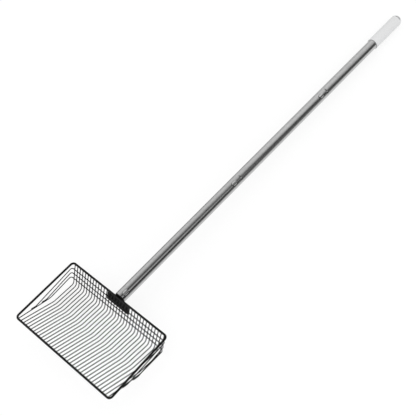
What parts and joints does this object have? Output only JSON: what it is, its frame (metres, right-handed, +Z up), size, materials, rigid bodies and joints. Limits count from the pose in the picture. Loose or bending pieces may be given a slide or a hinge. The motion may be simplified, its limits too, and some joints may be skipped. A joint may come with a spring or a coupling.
{
  "type": "leaf skimmer scoop",
  "caption": "Shallow rectangular basket of welded wire on a sectional tube pole, for lifting leaves out of water, with a hand grip and a hang slot at the far end.",
  "frame": {"origin": "middle of the bottom of the bounding box, on the surface that the scoop lies on", "axes": "+Y along the pole, from the basket to the grip; +Z up, out of the basket's open mouth; +X to the right, seen from the basket along the pole"},
  "size_m": [0.27, 1.2131, 0.0623],
  "materials": {
    "black_coating": "smooth black plastic or powder coat, half gloss",
    "tube_metal": "drawn tube, satin, with fine draw lines",
    "grip_plastic": "off-white moulded plastic, fine satin",
    "button_steel": "turned, smooth",
    "spring_steel": "spring strip, dull"
  },
  "bodies": {
    "scoop": {"rim_wire": "black_coating", "upper_hoop": "black_coating", "middle_hoop": "black_coating", "lower_hoop": "black_coating", "rib_01": "black_coating", "rib_02": "black_coating", "rib_03": "black_coating", "rib_04": "black_coating", "rib_05": "black_coating", "rib_06": "black_coating", "rib_07": "black_coating", "rib_08": "black_coating", "rib_09": "black_coating", "rib_10": "black_coating", "rib_11": "black_coating", "rib_12": "black_coating", "rib_13": "black_coating", "rib_14": "black_coating", "rib_15": "black_coating", "rib_16": "black_coating", "rib_17": "black_coating", "rib_18": "black_coating", "rib_19": "black_coating", "rib_20": "black_coating", "rib_21": "black_coating", "rib_22": "black_coating", "rib_23": "black_coating", "rib_24": "black_coating", "rib_25": "black_coating", "rib_26": "black_coating", "rib_27": "black_coating", "rib_28": "black_coating", "rib_29": "black_coating", "rib_30": "black_coating", "rib_31": "black_coating", "rib_32": "black_coating", "rib_33": "black_coating", "mounting_plate": "black_coating", "pole_stub": "black_coating", "lower_tube": "tube_metal", "middle_tube": "tube_metal", "upper_tube": "tube_metal", "grip": "grip_plastic", "base_clip": "spring_steel", "lower_clip": "spring_steel", "upper_clip": "spring_steel"},
    "base_latch": {"base_button": "button_steel", "base_leaf": "spring_steel"},
    "lower_latch": {"lower_button": "button_steel", "lower_leaf": "spring_steel"},
    "upper_latch": {"upper_button": "button_steel", "upper_leaf": "spring_steel"}
  },
  "joints": [
    {"name": "base_latch_press", "type": "hinge", "parent": "scoop", "child": "base_latch", "pos_m": [0.00422, -0.39364, 0.05502], "axis": [0.8829, -0.0155, -0.4692], "range_deg": [0, 5.7], "stiffness_Nm_per_rad": 4, "springref_deg": -2.86},
    {"name": "lower_latch_press", "type": "hinge", "parent": "scoop", "child": "lower_latch", "pos_m": [0.00422, -0.04783, 0.0436], "axis": [0.8829, -0.0155, -0.4692], "range_deg": [0, 5.7], "stiffness_Nm_per_rad": 4, "springref_deg": -2.86},
    {"name": "upper_latch_press", "type": "hinge", "parent": "scoop", "child": "upper_latch", "pos_m": [0.00422, 0.28299, 0.03268], "axis": [0.8829, -0.0155, -0.4692], "range_deg": [0, 5.7], "stiffness_Nm_per_rad": 4, "springref_deg": -2.86}
  ]
}
